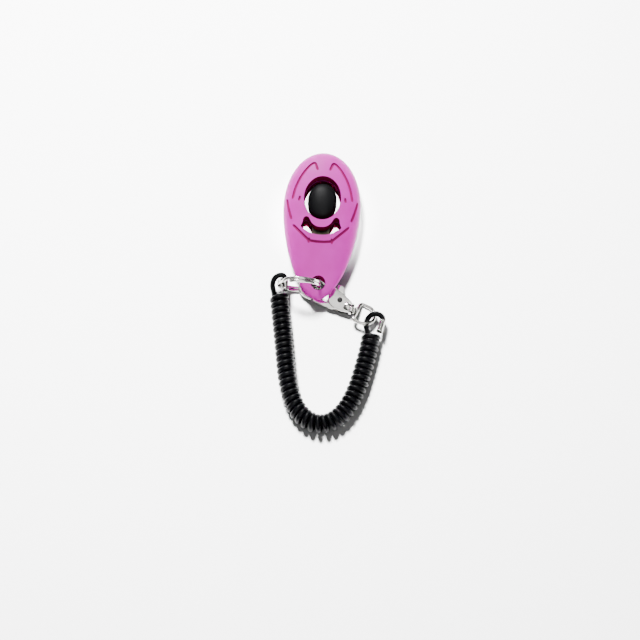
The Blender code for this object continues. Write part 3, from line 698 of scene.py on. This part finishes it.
def helix_points():
    """The wound stretch, from the left loop's foot to the right loop's foot."""
    frames = coil_frames()
    total = frames[-1][0]
    radius = (COIL_DIAMETER - CORD) / 2
    first = frames[0]
    last = frames[-1]
    up = Vector((0, 0, 1))
    foot_in = Vector(LEFT_LOOP[0]) * MM - first[1]
    foot_out = Vector(RIGHT_LOOP[-1]) * MM - last[1]
    start = math.atan2(foot_in.dot(up), foot_in.dot(first[2]))
    finish = math.atan2(foot_out.dot(up), foot_out.dot(last[2]))
    turns = math.floor(total / COIL_PITCH) + ((finish - start) / (2 * math.pi)) % 1
    points = []
    count = int(turns * TURN_POINTS)
    k = 0
    for i in range(count + 1):
        share = i / count
        reach = total * share
        while k < len(frames) - 2 and frames[k + 1][0] < reach:
            k += 1
        low, high = frames[k], frames[k + 1]
        t = (reach - low[0]) / (high[0] - low[0])
        centre = low[1].lerp(high[1], t)
        side = low[2].lerp(high[2], t).normalized()
        turn = start + 2 * math.pi * turns * share
        points.append(centre + (side * math.cos(turn) + up * math.sin(turn)) * radius)
    return points


def make_cord(looks):
    """One cord from crimp to crimp: round the split ring, through the coil, round the eye."""
    left = [Vector(point) * MM for point in reversed(LEFT_LOOP)]
    right = [Vector(point) * MM for point in reversed(RIGHT_LOOP)]
    wound = helix_points()
    points = spline_through(left + wound[3:6], 0.45 * MM)[:-1]
    points = points + wound[6:-6] + spline_through(wound[-6:-3] + right, 0.45 * MM)
    line = bpy.data.curves.new("curly_cord", "CURVE")
    line.dimensions = "3D"
    line.bevel_depth = CORD / 2
    line.bevel_resolution = 5
    line.use_fill_caps = True
    run = line.splines.new("POLY")
    run.points.add(len(points) - 1)
    for spot, point in zip(run.points, points):
        spot.co = (*point, 1.0)
    run.use_smooth = True
    cord = add_piece("curly_cord", line, looks["cord"], "strap",
                     ["cord_coil", "cord_loop_left", "cord_loop_right"])
    length = sum((b - a).length for a, b in zip(points, points[1:]))
    print(f"cord length {length:.4f}")
    return cord


# ---------------------------------------------------------------- ring, crimps and snap

def make_key_ring(looks):
    middle = (RING_IN + RING_OUT) / 2
    half = (RING_OUT - RING_IN) / 2
    pitch = RING_WIRE + 0.12 * MM
    jog = 0.5
    start = math.radians(150)
    steps = 260
    stations = []
    for i in range(steps + 1):
        run = (4 * math.pi - jog - 0.08) * i / steps
        rise = pitch * (smoothstep((run - 2 * math.pi + jog) / jog) - 0.5)
        turn = start + run
        out = Vector((math.cos(turn), math.sin(turn), 0))
        stations.append((out * middle + Vector((0, 0, rise)), out, Vector((0, 0, 1))))
    top = RING_WIRE / 2
    soft = 0.32 * MM
    section = []
    for cx, cz, begin in ((half, top, 0), (-half, top, 90), (-half, -top, 180), (half, -top, 270)):
        for k in range(5):
            turn = math.radians(begin + 22.5 * k)
            section.append((cx - math.copysign(soft, cx) + soft * math.cos(turn),
                            cz - math.copysign(soft, cz) + soft * math.sin(turn)))
    data = swept("split_ring", stations, section, sharp=60)
    return add_piece("split_ring", data, looks["nickel"], "ring", ["key_ring"], RING_PLACE)


def make_crimp(name, looks, start, end, node):
    """A pressed ferrule with rolled lips and the seam where its strip meets."""
    start = Vector(start) * MM
    end = Vector(end) * MM
    length = (end - start).length
    lip = 0.35 * MM
    swell = 0.2 * MM
    waist = CRIMP_RADIUS - swell
    mouth = waist - 0.25 * MM
    profile = [(mouth, 0)]
    for middle in (lip, length - lip):
        for k in range(9):
            turn = math.pi * k / 8
            profile.append((waist + swell * math.sin(turn), middle - lip * math.cos(turn)))
    profile.append((mouth, length))
    place = Matrix.Translation(start) @ (end - start).to_track_quat("Z", "Y").to_matrix().to_4x4()
    metal = looks["nickel"]
    made = add_piece(name, turned(name, profile, 48, 50), metal, "strap", [node], place)
    seam = bmesh.new()
    box = Matrix.Diagonal((0.22 * MM, 0.5 * MM, 1.2 * length, 1))
    bmesh.ops.create_cube(seam, size=1.0, matrix=Matrix.Translation((0, -CRIMP_RADIUS, length / 2)) @ box)
    boolean(made, [helper("seam", with_surface(mesh_of("seam", seam), metal), place)])
    made.data.set_sharp_from_angle(angle=math.radians(40))
    return made


HOOK_OUTLINE = [
    (0.6, -2.2), (4.6, -4.0), (9.6, -5.3), (15.2, -6.8), (20.1, -7.3), (23.4, -6.4), (25.4, -4.1),
    (25.9, -1.4), (25.2, 1.3), (23.2, 3.1), (20.3, 3.8), (18.2, 3.8), (18.1, 1.9), (19.9, 1.8), (22.5, 1.1),
    (24.0, -0.3), (24.3, -2.3), (23.4, -4.3), (20.8, -5.3), (16.8, -5.1), (13.9, -3.9), (12.3, -2.4),
    (11.6, -0.4), (10.6, 1.6), (8.1, 2.9), (4.2, 3.0), (0.6, 2.3),
]
GATE_OUTLINE = [
    (17.7, 1.9), (17.1, 3.7), (12.0, 3.9), (7.6, 3.6), (5.0, 1.8), (4.3, -0.8), (5.0, -3.0), (6.6, -5.8),
    (7.2, -7.4), (8.6, -7.9), (9.9, -7.2), (9.7, -6.0), (8.6, -4.4), (8.4, -2.0), (9.2, 0.4), (11.2, 1.8),
]


def rounded(outline, keep):
    """Catmull-Rom points through an outline; corners named in keep stay sharp."""
    ring = [Vector(p) * MM for p in outline]
    count = len(ring)
    made = []
    for i in range(count):
        a, b, c, d = (ring[(i + k) % count] for k in (-1, 0, 1, 2))
        if i in keep:
            a = b
        if (i + 1) % count in keep:
            d = c
        for t in (0, 0.25, 0.5, 0.75):
            made.append(tuple(between(a, b, c, d, t)))
    return made


def plate(name, outline, thickness, bevel):
    shape = bmesh.new()
    half = thickness / 2
    skin(shape, [[(x, y, z) for x, y in outline] for z in (-half, half)])
    bmesh.ops.recalc_face_normals(shape, faces=shape.faces)
    rims = [edge for edge in shape.edges if abs(edge.verts[0].co.z - edge.verts[1].co.z) < 1e-9]
    bmesh.ops.bevel(shape, geom=rims, offset=bevel, segments=4, profile=0.5, affect="EDGES")
    return mesh_of(name, shape, 50)


def lying(x=0.0):
    return Matrix.Translation((x, 0, 0)) @ Matrix.Rotation(math.pi / 2, 4, "Y")


def make_snap_body(looks):
    metal = looks["nickel"]
    outline = rounded(HOOK_OUTLINE, {0, 10, 11, 12, 13, 26})
    body = add_piece("snap_hook", plate("snap_hook", outline, 2.2 * MM, 0.5 * MM), metal, "strap",
                     ["snap_body"], SNAP_PLACE)
    cheeks = [point for point in outline if point[0] < 12 * MM]
    shoulder = with_surface(plate("shoulder", cheeks, 3.2 * MM, 0.4 * MM), metal)
    ribs = [(2.2, 0), (2.5, 0.08), (2.65, 0.3), (2.65, 1.0), (2.5, 1.2), (2.15, 1.3), (2.1, 1.4), (2.1, 1.6),
            (2.15, 1.7), (2.45, 1.85), (2.5, 2.0), (2.5, 3.0), (2.4, 3.5), (2.2, 4.2)]
    barrel = with_surface(turned("barrel", [(r * MM, z * MM) for r, z in ribs], 48), metal)
    boolean(body, [helper("shoulder", shoulder, SNAP_PLACE),
                   helper("barrel", barrel, SNAP_PLACE @ lying(BARREL_X))], "UNION")
    slot = bmesh.new()
    box = Matrix.Diagonal((8.2 * MM, 16 * MM, 1.7 * MM, 1))
    bmesh.ops.create_cube(slot, size=1.0, matrix=Matrix.Translation((7.6 * MM, 0, 0)) @ box)
    bore = [(1.2 * MM, -MM), (1.2 * MM, 1.5 * MM), (1.7 * MM, 1.6 * MM), (1.7 * MM, 3.7 * MM)]
    hole = turned("pin_hole", [(PIN_HOLE_RADIUS, -3 * MM), (PIN_HOLE_RADIUS, 3 * MM)], 32)
    cuts = [helper("slot", with_surface(mesh_of("slot", slot), metal), SNAP_PLACE),
            helper("bore", with_surface(turned("bore", bore, 32), metal), SNAP_PLACE @ lying(BARREL_X)),
            helper("pin_hole", with_surface(hole, metal), SNAP_PLACE @ Matrix.Translation((*GATE_PIVOT, 0)))]
    boolean(body, cuts)
    body.data.set_sharp_from_angle(angle=math.radians(35))
    soften(body, 0.08 * MM, 2, 35)
    return body


def make_gate(looks):
    """The gate bar and its thumb lever in one plate, with a pocket for the spring."""
    metal = looks["nickel"]
    outline = rounded(GATE_OUTLINE, {0, 1, 15})
    gate = add_piece("snap_trigger", plate("snap_trigger", outline, 1.3 * MM, 0.25 * MM), metal,
                     "gate", ["snap_gate"], SNAP_PLACE)
    hole = turned("gate_hole", [(PIN_HOLE_RADIUS, -3 * MM), (PIN_HOLE_RADIUS, 3 * MM)], 32)
    pocket = turned("pocket", [(1.75 * MM, 0.05 * MM), (1.75 * MM, 3 * MM)], 48)
    spot = SNAP_PLACE @ Matrix.Translation((*GATE_PIVOT, 0))
    boolean(gate, [helper("gate_hole", with_surface(hole, metal), spot),
                   helper("pocket", with_surface(pocket, metal), spot)])
    gate.data.set_sharp_from_angle(angle=math.radians(35))
    return gate


def make_eye(looks):
    """The D-shaped swivel eye and its headed post in one casting."""
    far = 5.0
    corner = 1.2
    metal = looks["nickel"]
    rim = []
    for i in range(49):
        turn = math.pi / 2 + math.pi * i / 48
        rim.append((-5.65 + far * math.cos(turn), far * math.sin(turn)))
    for sign in (-1, 1):
        for i in range(9):
            turn = math.pi / 16 * i + (-math.pi / 2 if sign < 0 else 0.0)
            rim.append((-3.5 + corner * math.cos(turn), sign * (far - corner) + corner * math.sin(turn)))
    count = len(rim)
    radius = EYE_WIRE / 2
    turns = [2 * math.pi * i / 20 for i in range(20)]
    section = [(radius * math.cos(turn), radius * math.sin(turn)) for turn in turns]
    stations = []
    for i, (x, y) in enumerate(rim):
        along = (Vector(rim[(i + 1) % count]) - Vector(rim[i - 1])).normalized()
        stations.append((Vector((x, y, 0)) * MM, Vector((-along.y, along.x, 0)), Vector((0, 0, 1))))
    data = with_surface(swept("eye", stations, section, closed=True, sharp=60), metal)
    eye = add_piece("swivel_ring", data, metal, "eye", ["swivel_eye"], EYE_PLACE)
    post = [(0.8, -1.9), (1.4, -1.4), (1.7, -0.9), (1.7, -0.5), (1.5, -0.4), (0.9, -0.35), (0.9, 1.95),
            (1.35, 2.0), (1.35, 2.7), (0.8, 3.0)]
    post = with_surface(turned("post", [(r * MM, z * MM) for r, z in post], 40), metal)
    boolean(eye, [helper("post", post, EYE_PLACE @ lying(BARREL_X))], "UNION")
    eye.data.set_sharp_from_angle(angle=math.radians(40))
    return eye


# ---------------------------------------------------------------- button and click spring

def make_button(looks):
    """The domed rubber button, its flank turned under and its crown slightly flattened."""
    shape = bmesh.new()
    low = SPRING_Z + SPRING_THICKNESS / 2 + 0.3 * MM
    levels = [(0.90, low), (0.95, low + 0.05 * MM), (0.985, low + 0.25 * MM), (1.0, low + 0.6 * MM),
              (1.0, BUTTON_SHOULDER)]
    steps = 20
    for i in range(1, steps):
        turn = math.pi / 2 * i / steps
        rise = (BUTTON_TOP - BUTTON_SHOULDER) * math.sin(turn)
        levels.append((math.cos(turn) ** 0.9, BUTTON_SHOULDER + rise))
    rings = []
    for share, z in levels:
        outline = ellipse(BUTTON_HALF_WIDTH * share, BUTTON_HALF_LENGTH * share, BUTTON_Y, 96, 2.15)
        rings.append([(x, y, z) for x, y in outline])
    skin(shape, rings)
    data = mesh_of("thumb_button", shape, 60)
    return add_piece("thumb_button", data, looks["button"], "button", ["button_cap"])


def make_click_spring(looks):
    """The snap leaf with its pressed dimple, running between its clamp and the button."""
    half = SPRING_WIDTH / 2
    tail, head = -15.2 * MM, 16.5 * MM
    columns, rows = 24, 96
    grid = []
    shape = bmesh.new()
    for j in range(rows + 1):
        y = tail + (head - tail) * j / rows
        ends = min(j, rows - j) / 4
        narrow = half * (1 - 0.12 * max(0.0, 1 - ends) ** 2)
        line = []
        for i in range(columns + 1):
            x = narrow * (2 * i / columns - 1)
            reach = (x / (3.2 * MM)) ** 2 + ((y + 3.4 * MM) / (3.4 * MM)) ** 2
            line.append(shape.verts.new((x, y, SPRING_Z + 0.55 * MM * max(0.0, 1 - reach) ** 1.5)))
        grid.append(line)
    for j in range(rows):
        for i in range(columns):
            shape.faces.new((grid[j][i], grid[j][i + 1], grid[j + 1][i + 1], grid[j + 1][i]))
    data = mesh_of("snap_leaf", shape)
    leaf = add_piece("snap_leaf", data, looks["spring"], None, ["click_spring"])
    thick = leaf.modifiers.new("thickness", "SOLIDIFY")
    thick.thickness = SPRING_THICKNESS
    thick.offset = 0
    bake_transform(leaf)
    return leaf


def dress(node, surface):
    """A carried-over CAD node gets its fine material."""
    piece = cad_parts[node]
    piece.data.materials.clear()
    piece.data.materials.append(surface)
    return piece


def main():
    make_camera()
    table_lights = make_studio()
    make_floor(table_lights)
    looks = make_materials()
    ring = make_key_ring(looks)
    crimps = [make_crimp("left_ferrule", looks, (-14.5, -25.7, 8.75), (-14.1, -30.7, 8.8), "crimp_left"),
              make_crimp("right_ferrule", looks, (29.0, -41.5, 5.6), (27.8, -46.9, 6.5), "crimp_right")]
    snap = [make_snap_body(looks), make_gate(looks), make_eye(looks)]
    snap += [dress("gate_pin", looks["pin"]), dress("gate_spring", looks["spring"])]
    make_cord(looks)
    make_shell(True, looks)
    make_shell(False, looks)
    make_button(looks)
    make_click_spring(looks)
    dress("button_retainer", looks["button"])
    dress("button_rivet", looks["screws"])
    dress("spring_clamp", looks["screws"])
    for name in SCREWS:
        dress(name, looks["screws"])


main()
